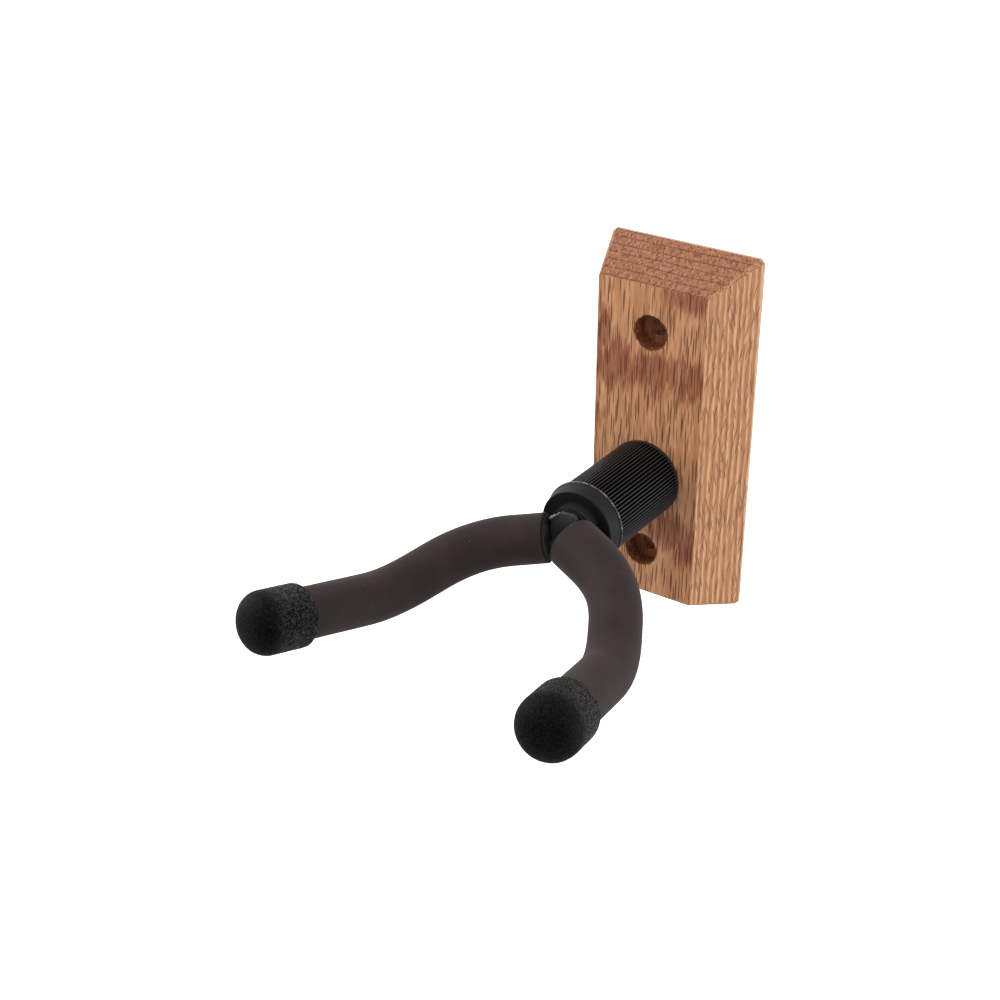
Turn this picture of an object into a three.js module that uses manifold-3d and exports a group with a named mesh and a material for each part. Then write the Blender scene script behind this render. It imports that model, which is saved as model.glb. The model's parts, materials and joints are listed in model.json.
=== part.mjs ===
// Wall guitar hanger: an oak block that screws to a wall, a fluted collar, and a padded yoke that
// swivels on a steel shaft. Millimetres, +Z up. The origin is the centre of the block's back face,
// and the hanger stands out of the wall along -Y.

import * as THREE from 'three';
import { ConvexGeometry } from 'three/addons/geometries/ConvexGeometry.js';
import { mergeVertices } from 'three/addons/utils/BufferGeometryUtils.js';
import Module from 'manifold-3d';

const wasm = await Module();
wasm.setup();

// ---- Driving dimensions ----------------------------------------------------------------------

// Clear space between pieces: at a running fit or a turned piece, and where two flat faces are seated.
const GAP = 0.3;
const SEAT = 0.05;

const BLOCK = {
  width: 58, height: 133.4, depth: 23.4, inset: 8.2, land: 0.8, corner: 1.4, frontCorner: 0.6,
};
const SCREW = { height: 41.7, headRadius: 6.15, headDepth: 6.2, shankRadius: 3 };
const POCKET = { radius: 11, depth: 13 };

const AXIS_Z = -12.6;
const SHAFT = { radius: 4.75, back: -2 };
const BORE_RADIUS = 7;

const COLLAR = {
  tipRadius: 13.8, rootRadius: 13.05, length: 38.6,
  rimRadius: 13.85, rimLength: 1.3, wallRadius: 10.2,
};
// The collar's flutes: their number, and where the ridge rises, crests and falls within one pitch.
const FLUTES = { count: 72, rise: 0.34, crest: 0.52, fall: 0.82 };
const CAP_RING = {
  bandRadius: 14.2, frontRadius: 13.4, length: 6.1, edge: 0.3, beadWidth: 1.2, beadRise: 0.5,
  dish: 1.2, dishRadius: 9.4, spigotLength: 5,
};
const FRONT_BUSHING = { flangeRadius: 8.8, flangeLength: 4.1, barrelRadius: 6.7, barrelLength: 20 };
const REAR_BUSHING = { flangeRadius: 9.5, flangeLength: 1.8, barrelRadius: 6.7, barrelLength: 8 };
const THRUST_WASHER = { radius: 8.3, thickness: 1 };
const REAR_WASHER = { radius: 9.8, thickness: 1.5 };
const SPRING_WASHER = { radius: 8.6, thickness: 0.8, dish: 0.7 };
const NUT = {
  acrossFlats: 14.3, height: 6.6, chamferInset: 1.3, chamferHeight: 0.9,
  insertRadius: 6.2, insertDepth: 2.4, insertRecess: 0.2,
};

const HUB = {
  plateWidth: 9.8, plateHeight: 18.2, plateThickness: 1.6, shoulder: 3.8, shoulderDrop: 2.8, nick: 1.2,
  bossRadius: 6, bossLength: 1.6,
  tongueWidth: 12, tongueHeight: 3, tongueLength: 4.2, tongueDrop: 2.8,
};

// The right arm's centreline: corners of a bent rod, from the yoke's middle to the cap's tip.
// The left arm is its mirror image. Heights are measured from the shaft's axis.
const YOKE_TILT = THREE.MathUtils.degToRad(-2);
const ARM = {
  corners: [[0, -76.4, 0.9], [28, -88, -4.4], [42.6, -115.6, -14.4], [53.5, -171.8, -1.3]],
  bends: [41, 35],
  rodRadius: 4.75,
  rodSides: 12,
  steps: 30,
};
const ROD_START = 4.6;
const SLEEVE_START = 5;
const SLEEVE = { outerRadius: 8.45, innerRadius: 5.05, sides: 20 };
const CAP = { radius: 10.4, length: 21.4, dome: 8, domePower: 2.2, socketDepth: 13, lip: 0.8 };

// Sides of a round: small bores, most rounds, and the collar's.
const SMALL_ROUND = 32;
const ROUND = 48;
const LARGE_ROUND = 72;

// How far a cutting solid runs past the face that it cuts.
const OVERCUT = 1;

const BLOCK_FRONT = -BLOCK.depth;
const COLLAR_BACK = BLOCK_FRONT - SEAT;
const COLLAR_FRONT = COLLAR_BACK - COLLAR.length;
const RING_BACK = COLLAR_FRONT - SEAT;
const RING_FRONT = RING_BACK - CAP_RING.length;
const DISH_FLOOR = RING_FRONT + CAP_RING.dish;
const BUSHING_FRONT = DISH_FLOOR - SEAT - FRONT_BUSHING.flangeLength;
const HUB_BACK = BUSHING_FRONT - GAP - THRUST_WASHER.thickness - GAP;
const PLATE_BACK = HUB_BACK - HUB.bossLength;
const PLATE_FRONT = PLATE_BACK - HUB.plateThickness;

// ---- Materials -------------------------------------------------------------------------------

const finish = (color, roughness, metalness) => () =>
  new THREE.MeshStandardMaterial({ color, roughness, metalness });

const oak = finish(0xc08a5c, 0.62, 0);
const blackPlastic = finish(0x1c1c1d, 0.45, 0);
const greyNylon = finish(0x303234, 0.5, 0);
const blackSteel = finish(0x232524, 0.5, 0.6);
const zincSteel = finish(0xa9abad, 0.38, 0.9);
const brownRubber = finish(0x40342f, 0.85, 0);
const blackRubber = finish(0x171717, 0.8, 0);
const blueNylon = finish(0x2a3f6e, 0.6, 0);

// ---- Geometry helpers ------------------------------------------------------------------------

function closed(geometry) {
  geometry.deleteAttribute('normal');
  geometry.deleteAttribute('uv');
  return mergeVertices(geometry, 1e-4);
}

function solid(geometry) {
  const shape = closed(geometry);
  return new wasm.Manifold(new wasm.Mesh({
    numProp: 3,
    vertProperties: new Float32Array(shape.attributes.position.array),
    triVerts: new Uint32Array(shape.index.array),
  }));
}

function fromSolid(body) {
  const mesh = body.getMesh();
  const geometry = new THREE.BufferGeometry();
  geometry.setAttribute('position', new THREE.BufferAttribute(mesh.vertProperties, 3));
  geometry.setIndex(new THREE.BufferAttribute(mesh.triVerts, 1));
  geometry.computeVertexNormals();
  return geometry;
}

// A cylinder along Y, between two heights above or below the shaft's axis.
function rod(radius, yBack, yFront, x = 0, z = 0, sides = ROUND) {
  const geometry = new THREE.CylinderGeometry(radius, radius, Math.abs(yBack - yFront), sides);
  geometry.translate(x, (yBack + yFront) / 2, z);
  return geometry;
}

// A ring or turned piece about the Y axis. Each profile point is [radius, y].
function turned(profile, sides = ROUND) {
  const loop = [...profile, profile[0]].map(([radius, y]) => new THREE.Vector2(radius, y));
  return new THREE.LatheGeometry(loop, sides);
}

function washer(innerRadius, outerRadius, yBack, yFront) {
  return turned([[innerRadius, yFront], [outerRadius, yFront], [outerRadius, yBack], [innerRadius, yBack]]);
}

function flangedBushing(bushing, flangeY, direction) {
  const { flangeRadius, flangeLength, barrelRadius, barrelLength } = bushing;
  const bore = SHAFT.radius + GAP;
  const shoulder = flangeY + direction * flangeLength;
  const end = shoulder + direction * barrelLength;
  const profile = [
    [bore, flangeY], [flangeRadius, flangeY], [flangeRadius, shoulder],
    [barrelRadius, shoulder], [barrelRadius, end], [bore, end],
  ];
  return turned(direction > 0 ? profile : profile.reverse());
}

function part(name, geometry, material) {
  const mesh = new THREE.Mesh(geometry, material());
  mesh.name = name;
  return mesh;
}

// ---- Backplate -------------------------------------------------------------------------------

// One level of the block: a rectangle with small cut corners, in the plane y.
function blockLevel(width, height, y, corner) {
  const points = [];
  for (const sx of [-1, 1]) {
    for (const sz of [-1, 1]) {
      points.push(new THREE.Vector3(sx * (width / 2 - corner), y, sz * height / 2));
      points.push(new THREE.Vector3(sx * width / 2, y, sz * (height / 2 - corner)));
    }
  }
  return points;
}

function backplate() {
  const { width, height, depth, inset, land, corner, frontCorner } = BLOCK;
  const block = solid(new ConvexGeometry([
    ...blockLevel(width, height, 0, corner),
    ...blockLevel(width, height, -land, corner),
    ...blockLevel(width - 2 * inset, height - 2 * inset, -depth, frontCorner),
  ]));
  const front = -depth - OVERCUT;
  let cut = solid(rod(BORE_RADIUS, OVERCUT, front, 0, AXIS_Z));
  cut = cut.add(solid(rod(POCKET.radius, OVERCUT, -POCKET.depth, 0, AXIS_Z)));
  for (const z of [SCREW.height, -SCREW.height]) {
    cut = cut.add(solid(rod(SCREW.shankRadius, OVERCUT, front, 0, z)));
    cut = cut.add(solid(rod(SCREW.headRadius, BLOCK_FRONT + SCREW.headDepth, front, 0, z)));
  }
  return fromSolid(block.subtract(cut));
}

// ---- Collar ----------------------------------------------------------------------------------

// Narrow ridges with wider grooves between them, round a plain bore.
function flutedOutline() {
  const { tipRadius, rootRadius } = COLLAR;
  const { count, rise, crest, fall } = FLUTES;
  const outline = new THREE.Shape();
  const pitch = 2 * Math.PI / count;
  const corners = [[0, rootRadius], [rise, rootRadius], [crest, tipRadius], [fall, tipRadius]];
  for (let i = 0; i < count; i++) {
    for (const [fraction, radius] of corners) {
      const angle = (i + fraction) * pitch;
      const [x, y] = [radius * Math.cos(angle), radius * Math.sin(angle)];
      if (i === 0 && fraction === 0) outline.moveTo(x, y);
      else outline.lineTo(x, y);
    }
  }
  const bore = new THREE.Path();
  bore.absarc(0, 0, COLLAR.wallRadius, 0, 2 * Math.PI, true);
  outline.holes.push(bore);
  return outline;
}

// The collar's tube: its grooves stop at a plain rim where it meets the block.
function collarSleeve() {
  const { length, rimRadius, rimLength, wallRadius, rootRadius } = COLLAR;
  const tube = new THREE.ExtrudeGeometry(flutedOutline(), {
    depth: length, bevelEnabled: false, curveSegments: ROUND / 2,
  });
  tube.rotateX(Math.PI / 2);
  tube.translate(0, COLLAR_BACK, 0);
  const rim = washer((wallRadius + rootRadius) / 2, rimRadius, COLLAR_BACK, COLLAR_BACK - rimLength);
  return fromSolid(solid(tube).add(solid(rim)));
}

// The end cap closes the fluted tube: a tapered band with a bead round its back, a spigot inside
// the tube and a shallow dish round the bushing.
function collarEndCap() {
  const { bandRadius, frontRadius, edge, beadWidth, beadRise, dishRadius, spigotLength } = CAP_RING;
  const back = RING_BACK;
  const spigotRadius = COLLAR.wallRadius - GAP;
  const bore = FRONT_BUSHING.barrelRadius + GAP;
  return turned([
    [bore, DISH_FLOOR], [dishRadius, DISH_FLOOR],
    [frontRadius - edge, RING_FRONT], [frontRadius, RING_FRONT + edge],
    [bandRadius, back - beadWidth], [bandRadius + beadRise, back - beadWidth + beadRise],
    [bandRadius + beadRise, back - beadRise], [bandRadius, back],
    [spigotRadius, back], [spigotRadius, back + spigotLength], [bore, back + spigotLength],
  ], LARGE_ROUND);
}

// ---- Swivel: shaft, bushings, washers and nut --------------------------------------------------

function pivotShaft() {
  return rod(SHAFT.radius, SHAFT.back, PLATE_FRONT + GAP, 0, 0, SMALL_ROUND);
}

function rearStack() {
  const bore = SHAFT.radius + GAP;
  const flangeFace = -POCKET.depth + GAP + REAR_BUSHING.flangeLength;
  const washerBack = flangeFace + GAP + REAR_WASHER.thickness;
  const springFace = washerBack + GAP;
  const springBack = springFace + SPRING_WASHER.dish + SPRING_WASHER.thickness;
  const nutFace = springBack + GAP;
  return { bore, flangeFace, washerBack, springFace, springBack, nutFace };
}

function springWasher() {
  const { bore, springFace } = rearStack();
  const { radius, thickness, dish } = SPRING_WASHER;
  return turned([
    [bore, springFace + dish], [radius, springFace],
    [radius, springFace + thickness], [bore, springFace + dish + thickness],
  ]);
}

function lockNut() {
  const { bore, nutFace } = rearStack();
  const { acrossFlats, height, chamferInset, chamferHeight, insertRadius, insertDepth } = NUT;
  const back = nutFace + height;
  const cornerRadius = acrossFlats / Math.sqrt(3);
  const hexagon = solid(rod(cornerRadius, nutFace, back, 0, 0, 6));
  const chamfer = solid(turned([
    [0, nutFace], [cornerRadius - chamferInset, nutFace], [cornerRadius, nutFace + chamferHeight],
    [cornerRadius, back - chamferHeight], [cornerRadius - chamferInset, back], [0, back],
  ]));
  const hole = solid(rod(bore, nutFace - OVERCUT, back + OVERCUT, 0, 0, SMALL_ROUND));
  const recess = solid(rod(insertRadius + GAP, back - insertDepth, back + OVERCUT, 0, 0, SMALL_ROUND));
  return fromSolid(hexagon.intersect(chamfer).subtract(hole).subtract(recess));
}

function lockNutInsert() {
  const { bore, nutFace } = rearStack();
  const back = nutFace + NUT.height;
  return washer(bore, NUT.insertRadius, back - NUT.insertRecess, back - NUT.insertDepth + GAP);
}

// ---- Yoke ------------------------------------------------------------------------------------

// The centreline of one bent arm: straight legs with a round bend at each inner corner.
function armPath(from, to) {
  const corners = ARM.corners.map((corner) => new THREE.Vector3(...corner));
  const path = new THREE.CurvePath();
  let cursor = corners[0];
  for (let i = 1; i < corners.length - 1; i++) {
    const before = corners[i].clone().sub(corners[i - 1]).normalize();
    const after = corners[i + 1].clone().sub(corners[i]).normalize();
    const reach = ARM.bends[i - 1] * Math.tan(before.angleTo(after) / 2);
    const bendStart = corners[i].clone().addScaledVector(before, -reach);
    const bendEnd = corners[i].clone().addScaledVector(after, reach);
    path.add(new THREE.LineCurve3(cursor, bendStart));
    path.add(new THREE.QuadraticBezierCurve3(bendStart, corners[i], bendEnd));
    cursor = bendEnd;
  }
  path.add(new THREE.LineCurve3(cursor, corners[corners.length - 1]));
  return trimmed(path, from, to);
}

// The stretch of a path between two distances from its start; to counts back from the end.
function trimmed(path, from, to) {
  const length = path.getLength();
  const start = from / length;
  const end = 1 - to / length;
  const stretch = new THREE.Curve();
  stretch.getPoint = (t, target) => path.getPointAt(start + t * (end - start), target);
  return stretch;
}

function disc(radius, sides) {
  const points = [];
  for (let i = 0; i < sides; i++) {
    const angle = 2 * Math.PI * i / sides;
    points.push(new THREE.Vector2(radius * Math.cos(angle), radius * Math.sin(angle)));
  }
  return points;
}

function sweep(section, path) {
  return new THREE.ExtrudeGeometry(section, { steps: ARM.steps, extrudePath: path, bevelEnabled: false });
}

// An arm piece is built on the right and mirrored for the left.
function onSide(geometry, side) {
  if (side > 0) return closed(geometry);
  geometry.scale(-1, 1, 1);
  const shape = closed(geometry);
  shape.index.array.reverse();
  return shape;
}

function armRod(side) {
  const section = new THREE.Shape(disc(ARM.rodRadius, ARM.rodSides));
  return onSide(sweep(section, armPath(ROD_START, CAP.length - CAP.socketDepth + GAP)), side);
}

function armSleeve(side) {
  const section = new THREE.Shape(disc(SLEEVE.outerRadius, SLEEVE.sides));
  section.holes.push(new THREE.Path(disc(SLEEVE.innerRadius, SLEEVE.sides).reverse()));
  const tube = solid(sweep(section, armPath(SLEEVE_START, CAP.length - CAP.socketDepth + GAP)));
  const clearance = solid(rod(FRONT_BUSHING.flangeRadius + GAP, DISH_FLOOR, HUB_BACK));
  return onSide(fromSolid(tube.subtract(clearance)), side);
}

// The end cap: a cup over the sleeve's end, with a domed closed end and an eased rim.
function armCap(side) {
  const { radius, length, dome, domePower, socketDepth, lip } = CAP;
  const socketRadius = SLEEVE.outerRadius + GAP;
  const profile = [[0, socketDepth], [socketRadius, socketDepth], [socketRadius, 0], [radius - lip, 0]];
  profile.push([radius, lip]);
  const domeSteps = 8;
  for (let i = 0; i < domeSteps; i++) {
    const rise = i / domeSteps;
    const width = radius * Math.pow(1 - Math.pow(rise, domePower), 1 / domePower);
    profile.push([width, length - dome + rise * dome]);
  }
  profile.push([0, length]);
  const cup = new THREE.LatheGeometry(profile.map(([r, y]) => new THREE.Vector2(r, y)), SMALL_ROUND);
  const tip = new THREE.Vector3(...ARM.corners[3]);
  const axis = tip.clone().sub(new THREE.Vector3(...ARM.corners[2])).normalize();
  cup.applyQuaternion(new THREE.Quaternion().setFromUnitVectors(new THREE.Vector3(0, 1, 0), axis));
  cup.translate(...tip.addScaledVector(axis, -length));
  return onSide(cup, side);
}

// A large box that cuts the hub's side off square to the arm, just clear of the arm's end.
function hubSideCutter(side) {
  const corners = ARM.corners.map((corner) => new THREE.Vector3(...corner));
  const along = corners[1].clone().sub(corners[0]).normalize();
  const size = 4 * HUB.plateHeight;
  const cutter = new THREE.BoxGeometry(size, size, size);
  cutter.applyQuaternion(new THREE.Quaternion().setFromUnitVectors(new THREE.Vector3(1, 0, 0), along));
  cutter.translate(...corners[0].addScaledVector(along, ROD_START - GAP + size / 2));
  return solid(onSide(cutter, side));
}

// The plate's outline, seen from the front: upright, with two opposite shoulders sheared off at a
// slope and the other two corners nicked. It looks the same upside down.
function plateOutline() {
  const { plateWidth, plateHeight, shoulder, shoulderDrop, nick } = HUB;
  const [right, top] = [plateWidth / 2, plateHeight / 2];
  const upper = [
    [right, top - nick], [right - nick, top], [shoulder - right, top], [-right, top - shoulderDrop],
  ];
  const corners = [...upper, ...upper.map(([x, y]) => [-x, -y])];
  return new THREE.Shape(corners.map(([x, y]) => new THREE.Vector2(x, y)));
}

// The hub: an upright steel plate on a round boss, with a tongue low on its front that the arms
// butt square against, and a bore for the shaft's end.
function yokeHub() {
  const depth = HUB.plateThickness;
  const plate = new THREE.ExtrudeGeometry(plateOutline(), { depth, bevelEnabled: false });
  plate.rotateX(Math.PI / 2);
  plate.translate(0, PLATE_BACK, 0);
  const boss = rod(HUB.bossRadius, HUB_BACK, PLATE_FRONT + depth / 2);
  const tongueFront = PLATE_FRONT - HUB.tongueLength;
  const tongue = new THREE.BoxGeometry(HUB.tongueWidth, PLATE_BACK - tongueFront, HUB.tongueHeight);
  tongue.translate(0, (PLATE_BACK + tongueFront) / 2, -HUB.tongueDrop);
  const bore = rod(SHAFT.radius + GAP, HUB_BACK + OVERCUT, PLATE_FRONT + GAP / 2, 0, 0, SMALL_ROUND);
  return fromSolid(solid(plate).add(solid(boss)).add(solid(tongue)).subtract(solid(bore))
    .subtract(hubSideCutter(1)).subtract(hubSideCutter(-1)));
}

// ---- Assembly --------------------------------------------------------------------------------

const model = new THREE.Group();
model.add(part('backplate', backplate(), oak));

const swivel = new THREE.Group();
swivel.position.z = AXIS_Z;
model.add(swivel);

const stack = rearStack();
const bushingBore = SHAFT.radius + GAP;
swivel.add(part('collar_sleeve', collarSleeve(), blackPlastic));
swivel.add(part('collar_end_cap', closed(collarEndCap()), blackPlastic));
swivel.add(part('front_bushing', closed(flangedBushing(FRONT_BUSHING, BUSHING_FRONT, 1)), greyNylon));
swivel.add(part('rear_bushing', closed(flangedBushing(REAR_BUSHING, stack.flangeFace, -1)), greyNylon));
swivel.add(part('rear_washer', closed(washer(bushingBore, REAR_WASHER.radius, stack.washerBack,
  stack.washerBack - REAR_WASHER.thickness)), zincSteel));
swivel.add(part('spring_washer', closed(springWasher()), zincSteel));

const yoke = new THREE.Group();
yoke.rotation.y = YOKE_TILT;
swivel.add(yoke);
yoke.add(part('pivot_shaft', closed(pivotShaft()), zincSteel));
yoke.add(part('lock_nut', lockNut(), zincSteel));
yoke.add(part('lock_nut_insert', closed(lockNutInsert()), blueNylon));
yoke.add(part('thrust_washer', closed(washer(bushingBore, THRUST_WASHER.radius, BUSHING_FRONT - GAP,
  BUSHING_FRONT - GAP - THRUST_WASHER.thickness)), blackPlastic));
yoke.add(part('yoke_hub', yokeHub(), blackSteel));

for (const [name, side] of [['left', -1], ['right', 1]]) {
  yoke.add(part(`${name}_arm_rod`, armRod(side), blackSteel));
  yoke.add(part(`${name}_sleeve`, armSleeve(side), brownRubber));
  yoke.add(part(`${name}_end_cap`, armCap(side), blackRubber));
}

export default model;
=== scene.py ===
import json
import math

import bmesh
import bpy
import numpy as np
from mathutils import Matrix, Vector, noise


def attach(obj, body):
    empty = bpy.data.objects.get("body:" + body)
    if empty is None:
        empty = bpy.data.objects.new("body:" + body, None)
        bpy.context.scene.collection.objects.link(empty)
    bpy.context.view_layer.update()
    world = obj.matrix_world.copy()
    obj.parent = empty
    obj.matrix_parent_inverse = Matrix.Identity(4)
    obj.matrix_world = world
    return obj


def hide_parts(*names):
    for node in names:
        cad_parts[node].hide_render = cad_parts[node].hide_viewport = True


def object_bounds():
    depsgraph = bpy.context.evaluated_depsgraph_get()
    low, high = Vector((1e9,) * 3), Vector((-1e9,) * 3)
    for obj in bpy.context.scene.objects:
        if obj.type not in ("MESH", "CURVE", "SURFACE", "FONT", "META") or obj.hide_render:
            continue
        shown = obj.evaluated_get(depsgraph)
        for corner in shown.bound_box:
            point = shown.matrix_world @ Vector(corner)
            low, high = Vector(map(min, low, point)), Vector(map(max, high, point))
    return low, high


# Wall guitar hanger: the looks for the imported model, in a studio.
# Lengths in the helpers are in millimetres, and Blender's are in metres.

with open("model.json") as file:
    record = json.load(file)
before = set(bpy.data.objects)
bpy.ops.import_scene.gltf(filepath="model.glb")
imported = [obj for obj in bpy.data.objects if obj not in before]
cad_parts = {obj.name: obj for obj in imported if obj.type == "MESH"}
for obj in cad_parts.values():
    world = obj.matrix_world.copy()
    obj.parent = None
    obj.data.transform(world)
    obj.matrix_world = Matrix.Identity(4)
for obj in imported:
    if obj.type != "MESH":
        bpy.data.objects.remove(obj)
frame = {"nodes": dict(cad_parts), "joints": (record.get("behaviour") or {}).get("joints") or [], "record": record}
cad_low, cad_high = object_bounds()

MM = 0.001
NODES = frame["nodes"]

# ---- Driving dimensions, as in the CAD model ---------------------------------------------------

SHAFT_AXIS = Vector(frame["joints"][0]["pos_m"]) / MM
YOKE_TILT = math.radians(-2)
ARM_CORNERS = [(0, -76.4, 0.9), (28, -88, -4.4), (42.6, -115.6, -14.4), (53.5, -171.8, -1.3)]
BEND_RADII = [41, 35]
SLEEVE_START = 5
FLUTE_ROOT, FLUTE_TIP = 13.05, 13.8
BEAD_FRONT, BEAD_BACK = -63.3, -62.1
PLATE_FRONT = -75.95
CLEARANCE_RADIUS, CLEARANCE_FRONT = 9.1, -72.75
CAP_LENGTH, CAP_RADIUS = 21.4, 10.4
CAP_DOME, CAP_DOME_POWER = 8, 2.2
CAP_SOCKET, CAP_LIP = 12.8, 1.7
SLEEVE_RADIUS = 8.45
ROD_RADIUS = 4.75

# ---- Camera and light --------------------------------------------------------------------------

CAMERA_AZIMUTH = math.radians(34.37)
CAMERA_ELEVATION = math.radians(28.456)
CAMERA_DISTANCE = 0.559
CAMERA_AIM_OFFSET = Vector((-0.0182, 0, 0.0007))
CAMERA_LENS = 61.97
TENT_OPENING = (math.radians(22), math.radians(4))
TENT_STRENGTH = 0.85
SOFTBOX_DISTANCE = 0.9
FLOOR_SIZE = 12
FLOOR_DEPTH = 0.35


def toward(azimuth, elevation):
    """The unit vector from the object towards something at that azimuth and elevation."""
    flat = math.cos(elevation)
    return Vector((math.sin(azimuth) * flat, -math.cos(azimuth) * flat, math.sin(elevation)))


def place(obj, aim, azimuth, elevation, distance):
    """Stand obj off from aim and turn its -Z axis to it."""
    direction = toward(azimuth, elevation)
    obj.location = aim + direction * distance
    obj.rotation_euler = direction.to_track_quat("Z", "Y").to_euler()
    bpy.context.scene.collection.objects.link(obj)


def add_camera(centre):
    camera = bpy.data.objects.new("camera", bpy.data.cameras.new("camera"))
    camera.data.lens = CAMERA_LENS
    camera.data.clip_start = 0.01
    place(camera, centre + CAMERA_AIM_OFFSET, CAMERA_AZIMUTH, CAMERA_ELEVATION, CAMERA_DISTANCE)
    bpy.context.scene.camera = camera


def add_softbox(name, centre, azimuth, elevation, size, power, polarised=False):
    """A polarised softbox lights matt surfaces and leaves no reflection of itself."""
    light = bpy.data.lights.new(name, "AREA")
    light.shape = "RECTANGLE"
    light.size, light.size_y = size
    light.energy = power
    lamp = bpy.data.objects.new(name, light)
    lamp.visible_glossy = not polarised
    lamp.visible_camera = False
    place(lamp, centre, math.radians(azimuth), math.radians(elevation), SOFTBOX_DISTANCE)


def add_studio(centre):
    """A white tent, dim towards its open front, with a softbox at each side and one in front.

    The camera sees a plain white backdrop, which lights nothing.
    """
    add_softbox("softbox_left", centre, -80, 25, (0.5, 0.8), 2.5)
    add_softbox("softbox_right", centre, 100, -5, (0.4, 0.8), 2.6)
    add_softbox("softbox_front", centre, 4, 14, (0.9, 0.9), 3.3, polarised=True)
    world = bpy.data.worlds.new("tent")
    bpy.context.scene.world = world
    world.use_nodes = True
    nodes, links = world.node_tree.nodes, world.node_tree.links
    direction = nodes.new("ShaderNodeTexCoord").outputs["Generated"]
    brightness = None
    shades = ((toward(*TENT_OPENING), 0.93, 0.55, 0.1, 1.0), (Vector((0, 0, 1)), -0.9, 0.6, 0.6, 1.0))
    for axis, low, high, dim, bright in shades:
        along = nodes.new("ShaderNodeVectorMath")
        along.operation = "DOT_PRODUCT"
        along.inputs[1].default_value = axis
        links.new(direction, along.inputs[0])
        ramp = nodes.new("ShaderNodeMapRange")
        ramp.interpolation_type = "SMOOTHSTEP"
        for socket, value in zip(("From Min", "From Max", "To Min", "To Max"), (low, high, dim, bright)):
            ramp.inputs[socket].default_value = value
        links.new(along.outputs["Value"], ramp.inputs["Value"])
        product = nodes.new("ShaderNodeMath")
        product.operation = "MULTIPLY"
        product.inputs[1].default_value = TENT_STRENGTH
        links.new(ramp.outputs[0], product.inputs[0])
        if brightness is not None:
            links.new(brightness, product.inputs[1])
        brightness = product.outputs[0]
    seen = nodes.new("ShaderNodeMix")
    links.new(nodes.new("ShaderNodeLightPath").outputs["Is Camera Ray"], seen.inputs["Factor"])
    links.new(brightness, seen.inputs["A"])
    seen.inputs["B"].default_value = 1.0
    links.new(seen.outputs["Result"], nodes["Background"].inputs["Strength"])
    nodes["Background"].inputs["Color"].default_value = (1, 1, 1, 1)
    bpy.context.scene.view_settings.view_transform = "Standard"


def add_floor():
    """A white sheet far below the hanger. It is seen, but throws no light back up at it."""
    bpy.ops.mesh.primitive_plane_add(size=FLOOR_SIZE, location=(0, 0, cad_low[2] - FLOOR_DEPTH))
    floor = bpy.context.object
    floor.name = "floor"
    floor.visible_diffuse = False
    floor.visible_glossy = False
    material = Material("floor_paper")
    material.shader.inputs["Base Color"].default_value = (0.9, 0.9, 0.9, 1)
    material.shader.inputs["Roughness"].default_value = 0.9
    material.shader.inputs["Emission Color"].default_value = (1, 1, 1, 1)
    material.shader.inputs["Emission Strength"].default_value = 0.95
    material.paint(floor)


# ---- Materials ---------------------------------------------------------------------------------

def linear(red, green, blue):
    """An sRGB colour, 0 to 255, as linear RGBA."""
    def channel(value):
        value /= 255
        return value / 12.92 if value <= 0.04045 else ((value + 0.055) / 1.055) ** 2.4
    return (channel(red), channel(green), channel(blue), 1)


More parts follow.
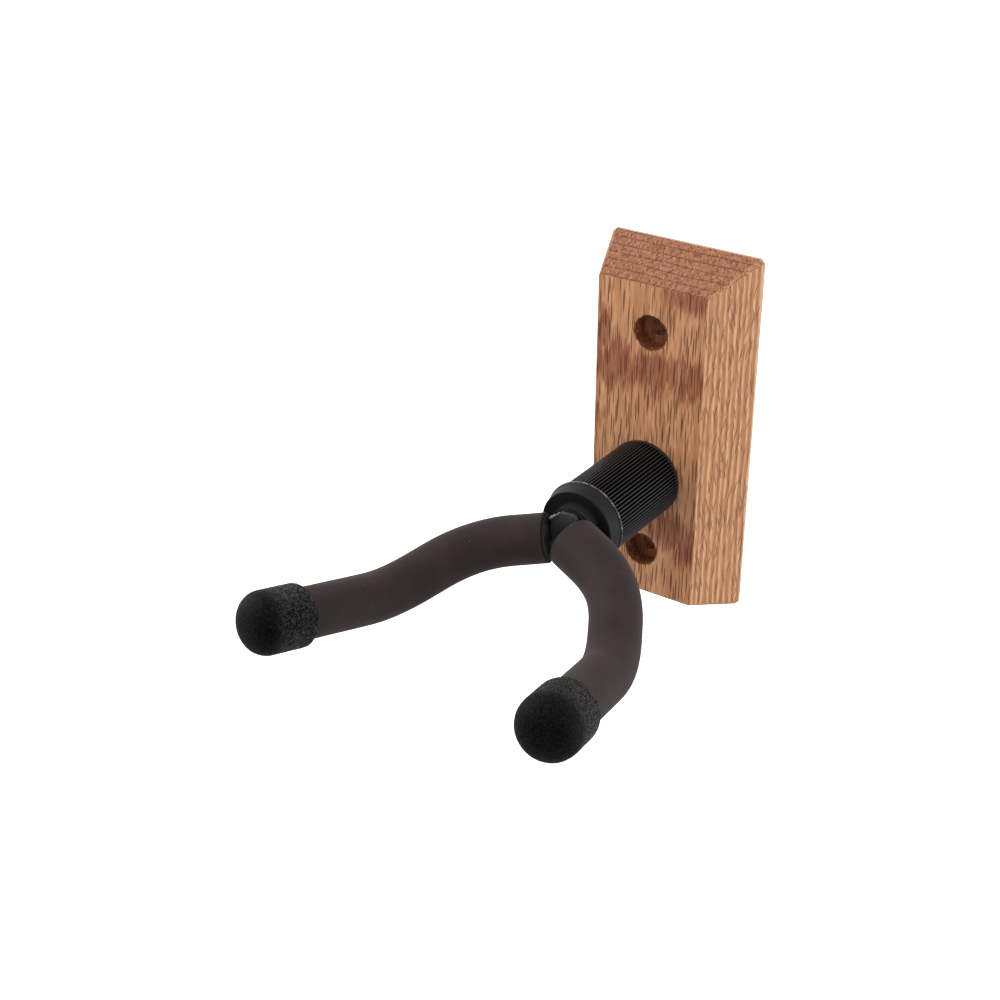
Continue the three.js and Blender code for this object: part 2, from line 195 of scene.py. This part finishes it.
class Material:
    """Builds one procedural material. A socket takes either another node's output or a value."""

    def __init__(self, name):
        self.material = bpy.data.materials.new(name)
        self.material.use_nodes = True
        self.tree = self.material.node_tree
        self.shader = self.tree.nodes["Principled BSDF"]

    def feed(self, socket, value):
        if isinstance(value, bpy.types.NodeSocket):
            self.tree.links.new(value, socket)
        else:
            socket.default_value = value

    def node(self, kind, inputs=(), **settings):
        node = self.tree.nodes.new("ShaderNode" + kind)
        for key, value in settings.items():
            setattr(node, key, value)
        for key, value in dict(inputs).items():
            self.feed(node.inputs[key], value)
        return node

    def math(self, operation, a, b=0.0, clamp=False):
        return self.node("Math", {0: a, 1: b}, operation=operation, use_clamp=clamp).outputs[0]

    def multiply(self, a, b):
        return self.math("MULTIPLY", a, b)

    def place(self):
        """Object coordinates in millimetres: the model's frame, with the yoke at rest."""
        coordinates = self.node("TexCoord").outputs["Object"]
        return self.node("VectorMath", {0: coordinates, "Scale": 1 / MM}, operation="SCALE").outputs[0]

    def stretch(self, vector, sizes, turn=(0, 0, 0), offset=(0, 0, 0)):
        """Turn the coordinates, then divide them by the size of one grain along each axis."""
        turned = self.node("VectorRotate", {"Vector": vector, "Rotation": turn}, rotation_type="EULER_XYZ")
        scale = tuple(1 / size for size in sizes)
        sockets = {"Vector": turned.outputs[0], "Location": offset, "Scale": scale}
        return self.node("Mapping", sockets).outputs[0]

    def noise(self, vector, detail=2.0, roughness=0.5, distortion=0.0):
        return self.node("TexNoise", {"Vector": vector, "Scale": 1.0, "Detail": detail,
                                      "Roughness": roughness, "Distortion": distortion}).outputs["Fac"]

    def cells(self, vector):
        return self.node("TexVoronoi", {"Vector": vector, "Scale": 1.0})

    def separate(self, vector):
        return self.node("SeparateXYZ", {0: vector}).outputs

    def radius(self, vector, centre):
        """The distance from the line through centre that runs along Y."""
        offset = self.node("VectorMath", {0: vector, 1: centre}, operation="SUBTRACT").outputs[0]
        flat = self.node("VectorMath", {0: offset, 1: (1, 0, 1)}, operation="MULTIPLY").outputs[0]
        return self.node("VectorMath", {0: flat}, operation="LENGTH").outputs["Value"]

    def distance_along(self, vector, start, direction):
        """How far a point lies from start along direction."""
        offset = self.node("VectorMath", {0: vector, 1: start}, operation="SUBTRACT").outputs[0]
        return self.node("VectorMath", {0: offset, 1: direction}, operation="DOT_PRODUCT").outputs["Value"]

    def step(self, value, low, high):
        """0 below low and 1 above high, or the other way round when low is the larger."""
        sockets = {"Value": value, "From Min": low, "From Max": high}
        return self.node("MapRange", sockets, interpolation_type="SMOOTHSTEP", clamp=True).outputs[0]

    def span(self, value, low, high):
        """Map 0..1 onto low..high."""
        return self.node("MapRange", {"Value": value, "To Min": low, "To Max": high}).outputs[0]

    def mix(self, factor, a, b):
        node = self.node("Mix", data_type="RGBA")
        self.feed(node.inputs["Factor"], factor)
        self.feed(node.inputs["A"], a)
        self.feed(node.inputs["B"], b)
        return node.outputs["Result"]

    def set(self, **sockets):
        for name, value in sockets.items():
            self.feed(self.shader.inputs[name.replace("_", " ").title().replace("Ior", "IOR")], value)

    def bump(self, height, depth):
        """Raise the surface by height (0..1) times depth in millimetres."""
        node = self.node("Bump", {"Height": height, "Distance": depth * MM, "Strength": 1.0})
        self.feed(self.shader.inputs["Normal"], node.outputs[0])

    def paint(self, *objects):
        for obj in objects:
            obj.data.materials.clear()
            obj.data.materials.append(self.material)


SCREW_HEIGHTS = [mount["pos_m"][2] / MM for mount in frame["record"]["mounts"] if "screw" in mount["name"]]
SCREW_HEAD_RADIUS = 6.15
COUNTERBORE_FLOOR = -17.2


def oak():
    """Oiled oak with upright grain, its growth rings nearly parallel to the front face."""
    m = Material("oiled_oak")
    raw = m.place()
    x, y, z = m.separate(raw)
    wander = m.node("TexNoise", {"Vector": m.stretch(raw, (18, 18, 50)), "Scale": 1.0, "Detail": 1.0})
    centred = m.node("VectorMath", {0: wander.outputs["Color"], 1: (0.5, 0.5, 0.5)}, operation="SUBTRACT")
    drift = m.node("VectorMath", {0: centred.outputs[0], 1: (2.4, 2.4, 0)}, operation="MULTIPLY")
    grain = m.node("VectorMath", {0: raw, 1: drift.outputs[0]}, operation="ADD").outputs[0]

    facing = m.separate(m.node("TexCoord").outputs["Normal"])
    end_grain = m.step(m.math("ABSOLUTE", facing[2]), 0.6, 0.8)
    side_grain = m.step(m.math("ABSOLUTE", facing[0]), 0.6, 0.8)
    face_grain = m.math("SUBTRACT", m.math("SUBTRACT", 1.0, side_grain), end_grain, clamp=True)

    # Growth rings: wavy ribbons on the bevelled sides.
    across = m.node("VectorMath", {0: grain, 1: (0.1, 0.37, 0.002)}, operation="DOT_PRODUCT").outputs["Value"]
    wobble = m.noise(m.stretch(raw, (6, 6, 40)), detail=2)
    ring = m.math("FRACT", m.math("ADD", across, m.multiply(wobble, 1.1)))
    ribbon = m.multiply(m.step(ring, 0.05, 0.55), m.step(ring, 1.0, 0.82))

    # Open pores: thin dark strokes along the grain.
    strength = m.span(m.noise(m.stretch(grain, (2.2, 2.2, 24))), 0.3, 1.5)
    pores = m.step(m.cells(m.stretch(grain, (0.62, 0.62, 13))).outputs["Distance"], 0.41, 0.27)
    pores = m.math("MULTIPLY", pores, strength, clamp=True)
    fine_pores = m.step(m.cells(m.stretch(grain, (0.36, 0.36, 8))).outputs["Distance"], 0.4, 0.2)

    # On the bevelled sides the cut runs across the grain at a slant, so the pores leave crossing strokes.
    strokes = None
    for slant, shift in ((15, 0.0), (-14, 0.37)):
        turned = m.stretch(raw, (1.3, 1.0, 17), (math.radians(slant), 0, 0), (shift, shift, shift))
        one = m.step(m.cells(turned).outputs["Distance"], 0.3, 0.18)
        strokes = one if strokes is None else m.math("MAXIMUM", strokes, one)
    strokes = m.multiply(strokes, side_grain)

    # End grain: straight dotted rings, with fine zigzag rays between them from front to back.
    sway = m.noise(m.stretch(raw, (20, 9, 9)))
    end_ring = m.math("FRACT", m.math("ADD", m.multiply(y, 0.27), m.multiply(sway, 0.5)))
    dots = m.step(m.noise(m.stretch(raw, (0.5, 0.9, 0.9)), detail=1), 0.3, 0.5)
    end_lines = m.multiply(m.math("MAXIMUM", m.step(end_ring, 0.16, 0.05), m.step(end_ring, 0.9, 0.97)), dots)
    sheared = m.math("ADD", x, m.multiply(m.math("PINGPONG", y, 1.0), 0.7))
    zigzag = m.node("CombineXYZ", {0: sheared, 1: y, 2: z}).outputs[0]
    rays = m.noise(m.stretch(zigzag, (0.3, 2.0, 2.0)))

    fibres = m.noise(m.stretch(grain, (0.32, 0.32, 8)), detail=3)
    streaks = m.noise(m.stretch(grain, (2.4, 2.4, 70)), detail=2)

    colour = m.mix(m.step(streaks, 0.35, 0.65), linear(234, 174, 128), linear(208, 143, 100))
    colour = m.mix(m.multiply(m.step(fibres, 0.4, 0.7), 0.7), colour, linear(188, 124, 84))
    side_colour = m.mix(ribbon, linear(245, 192, 144), linear(196, 134, 90))
    side_colour = m.mix(m.multiply(m.step(fibres, 0.4, 0.7), 0.45), side_colour, linear(192, 132, 92))
    colour = m.mix(side_grain, colour, side_colour)
    stained = m.multiply(m.multiply(stain(m, raw), face_grain), m.span(m.step(fibres, 0.62, 0.4), 0.5, 0.95))
    colour = m.mix(stained, colour, linear(146, 78, 52))
    end_colour = m.mix(m.step(rays, 0.36, 0.64), linear(128, 74, 50), linear(204, 138, 98))
    end_colour = m.mix(m.multiply(end_lines, 0.7), end_colour, linear(100, 54, 38))
    colour = m.mix(end_grain, colour, end_colour)
    along_grain = m.math("SUBTRACT", 1.0, end_grain)
    colour = m.mix(m.multiply(m.multiply(fine_pores, along_grain), 0.35), colour, linear(150, 90, 58))
    pore_depth = m.math("ADD", m.multiply(face_grain, 0.65), m.multiply(along_grain, 0.2))
    colour = m.mix(m.multiply(pores, pore_depth), colour, linear(92, 50, 28))
    colour = m.mix(m.multiply(strokes, 0.75), colour, linear(140, 88, 56))
    in_hole, rim = screw_holes(m, raw)
    # Inside the screw holes: paler, redder cut wood, painted paler still as painted light against the shade in the
    # counterbores.
    hole_wood_and_painted_light = m.mix(m.step(fibres, 0.4, 0.62), linear(255, 176, 126), linear(190, 100, 64))
    colour = m.mix(m.multiply(in_hole, 0.95), colour, hole_wood_and_painted_light)
    colour = m.mix(m.multiply(rim, 0.8), colour, linear(92, 48, 30))
    # Painted highlight: a pale line painted along the rear edge, where the bevels meet the back land.
    painted_highlight_rear_edge = m.multiply(m.step(y, -1.15, -0.95), m.step(y, -0.02, -0.05))
    colour = m.mix(m.multiply(painted_highlight_rear_edge, 0.6), colour, linear(250, 222, 190))

    hollows = m.math("MAXIMUM", m.multiply(pores, along_grain), m.multiply(strokes, 0.7))
    height = m.math("SUBTRACT", m.multiply(fibres, 0.35), hollows)
    height = m.math("SUBTRACT", height, m.multiply(end_lines, 0.4))
    m.bump(height, 0.16)
    m.set(base_color=colour, roughness=m.math("ADD", m.span(fibres, 0.42, 0.58), m.multiply(hollows, 0.25)),
          specular_ior_level=0.35)
    return m


def stain(m, raw):
    """Reddish mineral streaks: feathered patches in the wood near the front face.

    Each patch is (x, z, half width, half height).
    """
    patches = [(-13, 27, 12, 8), (4, 28, 14, 7), (17, 27, 9, 8), (-18, 38, 2.5, 8), (13, 56, 8, 5),
               (11, -31, 9, 7), (18, -36, 5, 9), (-22, 6, 4, 7)]
    feather = m.noise(m.stretch(raw, (1.0, 1.0, 9)), detail=3, roughness=0.6)
    total = None
    for x, z, half_width, half_height in patches:
        offset = m.node("VectorMath", {0: raw, 1: (x, 0, z)}, operation="SUBTRACT").outputs[0]
        spread = (1 / half_width, 0, 1 / half_height)
        scaled = m.node("VectorMath", {0: offset, 1: spread}, operation="MULTIPLY")
        reach = m.node("VectorMath", {0: scaled.outputs[0]}, operation="LENGTH").outputs["Value"]
        patch = m.step(m.math("ADD", reach, m.span(feather, -1.3, 1.3)), 1.35, 0.55)
        total = patch if total is None else m.math("MAXIMUM", total, patch)
    return m.multiply(total, m.step(m.separate(raw)[1], -8, -20))


def screw_holes(m, raw):
    """Masks for the inside of the screw holes and for their torn rims on the front face."""
    inside = rim = None
    front = m.step(m.separate(raw)[1], COUNTERBORE_FLOOR + 0.3, COUNTERBORE_FLOOR + 0.1)
    ragged = m.span(m.noise(m.stretch(raw, (0.8, 0.8, 1.6)), detail=3), -1.1, 1.1)
    for height in SCREW_HEIGHTS:
        radius = m.radius(raw, (0, 0, height))
        hole = m.step(radius, SCREW_HEAD_RADIUS + 0.1, SCREW_HEAD_RADIUS + 0.02)
        torn = m.step(m.math("ADD", radius, ragged), SCREW_HEAD_RADIUS + 0.45, SCREW_HEAD_RADIUS + 0.1)
        inside = hole if inside is None else m.math("MAXIMUM", inside, hole)
        rim = torn if rim is None else m.math("MAXIMUM", rim, torn)
    return m.multiply(inside, front), m.multiply(rim, front)


def black_moulding(name, colour, roughness, worn=0.25):
    """Satin moulded plastic with a fine texture, faint scuffs and slightly paler edges."""
    m = Material(name)
    raw = m.place()
    grit = m.noise(m.stretch(raw, (0.12, 0.12, 0.12)), detail=2)
    scuffs = m.noise(m.stretch(raw, (1.2, 5, 1.2)), detail=4, roughness=0.65)
    edge = m.step(m.node("NewGeometry").outputs["Pointiness"], 0.52, 0.6)
    pale = tuple(min(1, 2.6 * channel + 0.012) for channel in colour[:3]) + (1,)
    tone = m.mix(m.multiply(edge, worn), colour, pale)
    tone = m.mix(m.multiply(m.step(scuffs, 0.55, 0.8), 0.25), tone, pale)
    m.bump(grit, 0.012)
    m.set(base_color=tone, roughness=m.math("ADD", m.span(scuffs, -0.08, 0.1), roughness),
          specular_ior_level=0.26)
    return m


def fluted_moulding():
    """The collar's plastic: glossy ridges, and dull grooves nearer the axis painted near black as painted shade.
    """
    m = Material("fluted_moulding")
    raw = m.place()
    ridge_vs_groove_shade = m.step(m.radius(raw, SHAFT_AXIS), FLUTE_ROOT + 0.3, FLUTE_TIP - 0.1)
    dust = m.noise(m.stretch(raw, (1.2, 6, 1.2)), detail=4, roughness=0.65)
    # Painted shade: the grooves between the ridges are painted near black.
    tone = m.mix(ridge_vs_groove_shade, linear(4, 4, 4), linear(42, 45, 48))
    tone = m.mix(m.multiply(m.step(dust, 0.52, 0.75), m.multiply(ridge_vs_groove_shade, 0.4)), tone, linear(66, 68, 71))
    m.bump(m.noise(m.stretch(raw, (0.15, 0.15, 0.15)), detail=2), 0.01)
    m.set(base_color=tone, roughness=m.span(ridge_vs_groove_shade, 0.7, 0.36), specular_ior_level=m.span(ridge_vs_groove_shade, 0.0, 0.4))
    return m


def end_cap_moulding():
    """Satin black plastic, with a painted highlight along the bead's crest, broken into patches."""
    m = black_moulding("end_cap_moulding", linear(24, 24, 25), 0.42, 0.3)
    raw = m.place()
    y = m.separate(raw)[1]
    crest = m.multiply(m.step(y, BEAD_FRONT + 0.2, BEAD_FRONT + 0.5), m.step(y, BEAD_BACK, BEAD_BACK - 0.4))
    highlight_patches = m.step(m.noise(m.stretch(raw, (1.6, 1.6, 1.6)), detail=4, roughness=0.7), 0.42, 0.62)
    under = m.shader.inputs["Base Color"].links[0].from_socket
    # Painted highlight: the bead's crest is painted pale in patches.
    m.set(base_color=m.mix(m.multiply(crest, m.span(highlight_patches, 0.2, 1.0)), under, linear(150, 153, 156)))
    return m


def sleeve_rubber(hand):
    """Dark brown rubber tube: matte, a little dusty, with tiny pale specks, and its cut end by the hub painted
    near black as painted shade.
    """
    m = Material(f"sleeve_rubber_{hand}")
    raw = m.place()
    cut, outward = (Vector(value) for value in sleeve_end(hand))
    painted_shade_cut_end = m.step(m.distance_along(raw, cut, outward), -0.42, -0.2)
    cloud = m.noise(m.stretch(raw, (9, 9, 9)), detail=3)
    skin = m.noise(m.stretch(raw, (0.25, 0.25, 0.25)), detail=3, roughness=0.6)
    tone = m.mix(m.step(cloud, 0.35, 0.7), linear(47, 37, 35), linear(53, 42, 40))
    tone = m.mix(m.multiply(m.step(skin, 0.5, 0.75), 0.4), tone, linear(70, 57, 55))
    spot = m.cells(m.stretch(raw, (3.4, 3.4, 3.4)))
    chosen = m.step(m.node("SeparateColor", {0: spot.outputs["Color"]}).outputs[0], 0.62, 0.66)
    speck = m.multiply(m.step(spot.outputs["Distance"], 0.055, 0.03), chosen)
    tone = m.mix(m.multiply(speck, 0.6), tone, linear(150, 136, 130))
    scuffs = m.step(m.noise(m.stretch(raw, (1.3, 1.3, 1.3)), detail=5, roughness=0.8), 0.6, 0.74)
    tone = m.mix(m.multiply(scuffs, 0.3), tone, linear(110, 96, 92))
    # Painted shade: the cut end and bore next to the hub are painted near black.
    tone = m.mix(painted_shade_cut_end, tone, linear(9, 8, 8))
    m.bump(m.math("ADD", skin, m.multiply(speck, 1.2)), 0.03)
    m.set(base_color=tone, roughness=m.span(skin, 0.62, 0.78), specular_ior_level=0.22,
          sheen_weight=0.12, sheen_roughness=0.45, sheen_tint=(0.95, 0.8, 0.82, 1))
    return m


def cap_rubber():
    """Dipped black rubber, finely wrinkled over the sleeve and smoother towards the domed tip."""
    m = Material("cap_rubber")
    raw = m.place()
    x, y, z = m.separate(raw)
    right_arm = m.node("CombineXYZ", {0: m.math("ABSOLUTE", x), 1: y, 2: z}).outputs[0]
    tip = Vector(ARM_CORNERS[3])
    axis = (Vector(ARM_CORNERS[2]) - tip).normalized()
    band = m.step(m.distance_along(right_arm, tip + SHAFT_AXIS, axis), 4.5, 12)
    folds = m.noise(m.stretch(raw, (0.6, 0.6, 0.6)), detail=3, roughness=0.65, distortion=1.6)
    pebble = m.cells(m.stretch(raw, (0.5, 0.5, 0.5))).outputs["Distance"]
    crest = m.step(m.math("ADD", folds, m.multiply(pebble, 0.25)), 0.6, 0.72)
    worn = m.multiply(crest, m.span(band, 0.12, 1.0))
    tone = m.mix(worn, linear(3, 3, 3), linear(52, 52, 53))
    m.bump(m.multiply(m.math("ADD", folds, m.multiply(pebble, 0.6)), m.span(band, 0.2, 1.0)), 0.7)
    m.set(base_color=tone, roughness=m.span(worn, 0.5, 0.3), specular_ior_level=m.span(worn, 0.08, 0.75))
    return m


def black_steel():
    """Steel under thin dark grey-green paint."""
    m = Material("painted_steel")
    raw = m.place()
    runs = m.noise(m.stretch(raw, (2.2, 2.2, 4)), detail=3)
    grit = m.noise(m.stretch(raw, (0.3, 0.3, 0.3)), detail=2)
    tone = m.mix(m.step(runs, 0.35, 0.7), linear(50, 53, 52), linear(62, 65, 64))
    m.bump(m.math("ADD", m.multiply(runs, 0.4), m.multiply(grit, 0.3)), 0.04)
    m.set(base_color=tone, roughness=m.span(runs, 0.46, 0.56), specular_ior_level=0.3)
    return m


def bare_steel():
    """Bright, rough steel: weld spatter and the burr along a sheared edge."""
    m = Material("bare_steel")
    grit = m.noise(m.stretch(m.place(), (0.25, 0.25, 0.25)), detail=3)
    tone = m.mix(m.step(grit, 0.45, 0.6), linear(96, 98, 97), linear(206, 208, 206))
    m.bump(grit, 0.08)
    m.set(base_color=tone, metallic=0.3, roughness=0.5)
    return m


def zinc_steel():
    """Bright zinc plate, turned or stamped, with fine tool lines round the shaft's axis."""
    m = Material("zinc_steel")
    raw = m.place()
    turning = m.multiply(m.radius(raw, SHAFT_AXIS), 6)
    lines = m.noise(m.node("CombineXYZ", {0: turning}).outputs[0], detail=3)
    cloud = m.noise(m.stretch(raw, (3, 3, 3)), detail=3)
    tone = m.mix(m.step(cloud, 0.3, 0.7), linear(178, 180, 182), linear(205, 204, 196))
    m.bump(lines, 0.02)
    m.set(base_color=tone, metallic=1.0, roughness=m.span(cloud, 0.22, 0.42))
    return m


# ---- Arms --------------------------------------------------------------------------------------

def in_yoke(points):
    """Points given in the yoke's own frame, from the shaft's axis, in the model's frame at rest."""
    cosine, sine = math.cos(YOKE_TILT), math.sin(YOKE_TILT)
    tilt = np.array([[cosine, 0, sine], [0, 1, 0], [-sine, 0, cosine]])
    return np.asarray(points, float) @ tilt.T + np.array(SHAFT_AXIS)


def arm_centreline(side, spacing=0.5):
    """Distances along one arm's centreline, evenly spaced, and the points there in the model's frame."""
    corners = [np.array(corner, float) for corner in ARM_CORNERS]
    points = [corners[0]]
    for before, corner, after, radius in zip(corners, corners[1:], corners[2:], BEND_RADII):
        into = (corner - before) / np.linalg.norm(corner - before)
        out = (after - corner) / np.linalg.norm(after - corner)
        reach = radius * math.tan(math.acos(into @ out) / 2)
        for t in np.linspace(0, 1, 40):
            points.append((1 - t) ** 2 * (corner - into * reach) + 2 * t * (1 - t) * corner
                          + t ** 2 * (corner + out * reach))
    points.append(corners[-1])
    points = np.array(points) * (side, 1, 1)
    along = np.concatenate([[0], np.cumsum(np.linalg.norm(np.diff(points, axis=0), axis=1))])
    even = np.linspace(0, along[-1], round(along[-1] / spacing) + 1)
    line = np.column_stack([np.interp(even, along, points[:, axis]) for axis in range(3)])
    return even, in_yoke(line)


def cross_frames(line):
    """The direction along a line at each point, with a sideways and an upward vector square to it."""
    tangent = np.gradient(line, axis=0)
    tangent /= np.linalg.norm(tangent, axis=1)[:, None]
    sideways = np.cross(tangent, (0, 0, 1))
    sideways /= np.linalg.norm(sideways, axis=1)[:, None]
    return tangent, sideways, np.cross(sideways, tangent)


def lofted(name, rings, close_ends=False):
    """A mesh through closed rings of points. The last ring joins the first, unless close_ends caps both."""
    count, sides = len(rings), len(rings[0])
    vertices = (np.concatenate(rings) * MM).tolist()
    faces = []
    for i in range(count if not close_ends else count - 1):
        for j in range(sides):
            a, b = i * sides, ((i + 1) % count) * sides
            faces.append((a + j, a + (j + 1) % sides, b + (j + 1) % sides, b + j))
    if close_ends:
        faces.append(tuple(reversed(range(sides))))
        faces.append(tuple(range((count - 1) * sides, count * sides)))
    mesh = bpy.data.meshes.new(name)
    mesh.from_pydata(vertices, [], faces)
    mesh.polygons.foreach_set("use_smooth", [True] * len(mesh.polygons))
    mesh.update()
    obj = bpy.data.objects.new(name, mesh)
    bpy.context.scene.collection.objects.link(obj)
    recalculate_normals(obj)
    return obj


def recalculate_normals(obj):
    shape = bmesh.new()
    shape.from_mesh(obj.data)
    bmesh.ops.recalc_face_normals(shape, faces=shape.faces)
    shape.to_mesh(obj.data)
    shape.free()


def swept(name, side, profile, sides, close_ends=False, relief=None):
    """Sweep a profile of (distance along the arm, radius) round the arm's centreline."""
    along, line = arm_centreline(side)
    tangent, sideways, upward = cross_frames(line)
    angles = np.linspace(0, 2 * math.pi, sides, endpoint=False)
    rings = []
    for distance, radius in profile:
        at = [np.interp(distance, along, line[:, axis]) for axis in range(3)]
        right = np.array([np.interp(distance, along, sideways[:, axis]) for axis in range(3)])
        up = np.array([np.interp(distance, along, upward[:, axis]) for axis in range(3)])
        radii = np.full(sides, float(radius))
        if relief:
            radii += [relief(distance, radius, angle) for angle in angles]
        spokes = np.cos(angles)[:, None] * right + np.sin(angles)[:, None] * up
        rings.append(np.array(at) + radii[:, None] * spokes)
    return lofted(name, rings, close_ends)


def arc(centre, radius, start, end, steps):
    """Profile points on an arc. Angles are in degrees; 0 points away from the arm, 90 along it."""
    for degrees in np.linspace(start, end, steps):
        angle = math.radians(degrees)
        yield centre[0] + radius * math.sin(angle), centre[1] + radius * math.cos(angle)


def sleeve_end(hand):
    """A point on a sleeve's cut end by the hub, and the direction out of it."""
    line = arm_centreline(-1 if hand == "left" else 1)[1]
    outward = (line[0] - line[4]) / np.linalg.norm(line[0] - line[4])
    return line[0] - outward * SLEEVE_START, outward


def add_sleeve(side, hand, material):
    length = arm_centreline(side)[0][-1]
    start, end = SLEEVE_START, length - CAP_LENGTH + CAP_SOCKET - 0.3
    rim = 0.35
    profile = list(arc((start + rim, SLEEVE_RADIUS - rim), rim, -90, 0, 5))
    profile += [(distance, SLEEVE_RADIUS) for distance in np.linspace(start + 1, end, 190)]
    bore = ROD_RADIUS + 0.1
    profile += [(distance, bore) for distance in np.linspace(end, start + 0.3, 40)]
    profile.append((start, bore + 0.3))

    def relief(distance, radius, angle):
        if radius < SLEEVE_RADIUS - 1:
            return 0
        position = Vector((distance / 14, 2.2 * math.cos(angle), 2.2 * math.sin(angle) + 7 * side))
        flare = 0
        if hand == "right":
            flare = 1.4 * max(0, math.cos(angle - math.radians(145))) * math.exp(-((distance - 9) / 20) ** 2)
        return flare + 0.12 * noise.noise(position)

    sleeve = swept(f"{hand}_sleeve_cover", side, profile, 72, relief=relief)
    for vertex in sleeve.data.vertices:
        across = math.hypot(vertex.co.x / MM - SHAFT_AXIS.x, vertex.co.z / MM - SHAFT_AXIS.z)
        if across < CLEARANCE_RADIUS:
            vertex.co.y = min(vertex.co.y, CLEARANCE_FRONT * MM)
    material.paint(sleeve)
    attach(sleeve, "yoke")
    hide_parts(f"{hand}_sleeve")


def add_spatter(material):
    """Weld spatter and burr on the hub plate's sheared shoulder, and a few specks along its top edge."""
    chance = np.random.default_rng(5)
    shape = bmesh.new()
    edges = (((-4.9, 6.3), (-3.1, 7.6), 30, 0.36), ((-3.1, 7.6), (-1.1, 9.1), 20, 0.22),
             ((-1.1, 9.1), (3.6, 9.1), 6, 0.12))
    for start, end, count, size in edges:
        for t in chance.uniform(0, 1, count):
            x, z = (np.array(start) * (1 - t) + np.array(end) * t) + chance.normal(0, 0.12, 2)
            at = Vector(in_yoke([x, PLATE_FRONT + chance.uniform(-0.15, 0.25), z])) * MM
            bmesh.ops.create_icosphere(shape, subdivisions=2, radius=size * chance.uniform(0.5, 1.1) * MM,
                                       matrix=Matrix.Translation(at))
    for vertex in shape.verts:
        vertex.co += noise.noise_vector(vertex.co / MM * 3) * 0.08 * MM
    mesh = bpy.data.meshes.new("weld_spatter")
    shape.to_mesh(mesh)
    shape.free()
    spatter = bpy.data.objects.new("weld_spatter", mesh)
    bpy.context.scene.collection.objects.link(spatter)
    material.paint(spatter)
    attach(spatter, "yoke")


def add_cap(side, name, material):
    length = arm_centreline(side)[0][-1]
    rear = length - CAP_LENGTH
    bore = SLEEVE_RADIUS - 0.05
    pole = 0.02
    profile = [(rear + CAP_SOCKET, pole), (rear + CAP_SOCKET, bore), (rear + 6, bore), (rear + 0.6, bore)]
    profile += list(arc((rear + 0.45, bore + 0.4), 0.45, -150, -60, 4))
    profile += list(arc((rear + CAP_LIP, CAP_RADIUS - CAP_LIP), CAP_LIP, -80, 0, 6))
    for distance in np.arange(CAP_LIP + 0.4, CAP_LENGTH - CAP_DOME, 0.4):
        profile.append((rear + distance, CAP_RADIUS))
    for turn in np.linspace(0, 0.5 * math.pi, 30):
        radius = CAP_RADIUS * math.cos(turn) ** (2 / CAP_DOME_POWER)
        rise = CAP_DOME * math.sin(turn) ** (2 / CAP_DOME_POWER)
        profile.append((rear + CAP_LENGTH - CAP_DOME + rise, max(radius, pole)))

    def relief(distance, radius, angle):
        in_socket = distance < rear + CAP_SOCKET + 0.1 and radius <= bore + 0.01
        at_pole = distance > rear + 12 and radius < 1
        if in_socket or at_pole:
            return 0
        position = Vector((distance, radius * math.cos(angle), radius * math.sin(angle) + 40 * side))
        broad = noise.noise(position / 4)
        folds = abs(noise.noise(position / 1.1)) + 0.5 * abs(noise.noise(position / 0.6))
        calm = min(1, max(0.25, (rear + CAP_LENGTH - distance) / 9))
        return 0.04 * broad - 0.2 * calm * folds

    cap = swept(name, side, profile, 180, close_ends=True, relief=relief)
    material.paint(cap)
    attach(cap, "yoke")
    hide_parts(name.replace("_cover", ""))


# ---- CAD nodes ---------------------------------------------------------------------------------

SMOOTHED_UNDER = math.radians(28)


def soften(node, width):
    """Ease a machined part's edges by width millimetres."""
    obj = NODES[node]
    bevel = obj.modifiers.new("eased_edges", "BEVEL")
    bevel.width = width * MM
    bevel.segments = 2
    bevel.limit_method = "ANGLE"
    bevel.angle_limit = SMOOTHED_UNDER
    bevel.harden_normals = False
    shade(node)


def shade(node):
    """Smooth shading that stays crisp across sharper edges."""
    obj = NODES[node]
    with bpy.context.temp_override(object=obj, active_object=obj, selected_editable_objects=[obj]):
        bpy.ops.object.shade_smooth_by_angle(angle=SMOOTHED_UNDER)


def finish_cad_nodes():
    nylon = black_moulding("bushing_nylon", linear(30, 30, 32), 0.42, 0.5)
    steel = black_steel()
    zinc = zinc_steel()
    oak().paint(NODES["backplate"])
    fluted_moulding().paint(NODES["collar_sleeve"])
    end_cap_moulding().paint(NODES["collar_end_cap"])
    nylon.paint(NODES["front_bushing"], NODES["rear_bushing"])
    # Painted shade: the thrust washer is a real part, but it is coloured near black, darker than the bushings, to
    # stand in for the shade in the gap between bushing and hub plate.
    black_moulding("thrust_washer", linear(12, 12, 12), 0.5).paint(NODES["thrust_washer"])
    black_moulding("insert_nylon", linear(40, 62, 120), 0.4).paint(NODES["lock_nut_insert"])
    steel.paint(NODES["yoke_hub"], NODES["left_arm_rod"], NODES["right_arm_rod"])
    zinc.paint(*(NODES[name] for name in ("pivot_shaft", "lock_nut", "rear_washer", "spring_washer")))
    soften("backplate", 0.3)
    soften("yoke_hub", 0.2)
    soften("lock_nut", 0.15)
    for name in ("collar_sleeve", "collar_end_cap", "front_bushing", "rear_bushing", "thrust_washer",
                 "pivot_shaft", "rear_washer", "spring_washer", "lock_nut_insert", "left_arm_rod",
                 "right_arm_rod"):
        shade(name)


centre = (Vector(cad_low) + Vector(cad_high)) / 2
add_camera(centre)
add_studio(centre)
add_floor()
finish_cad_nodes()
add_spatter(bare_steel())
dipped = cap_rubber()
for side, hand in ((-1, "left"), (1, "right")):
    add_sleeve(side, hand, sleeve_rubber(hand))
    add_cap(side, f"{hand}_end_cap_cover", dipped)
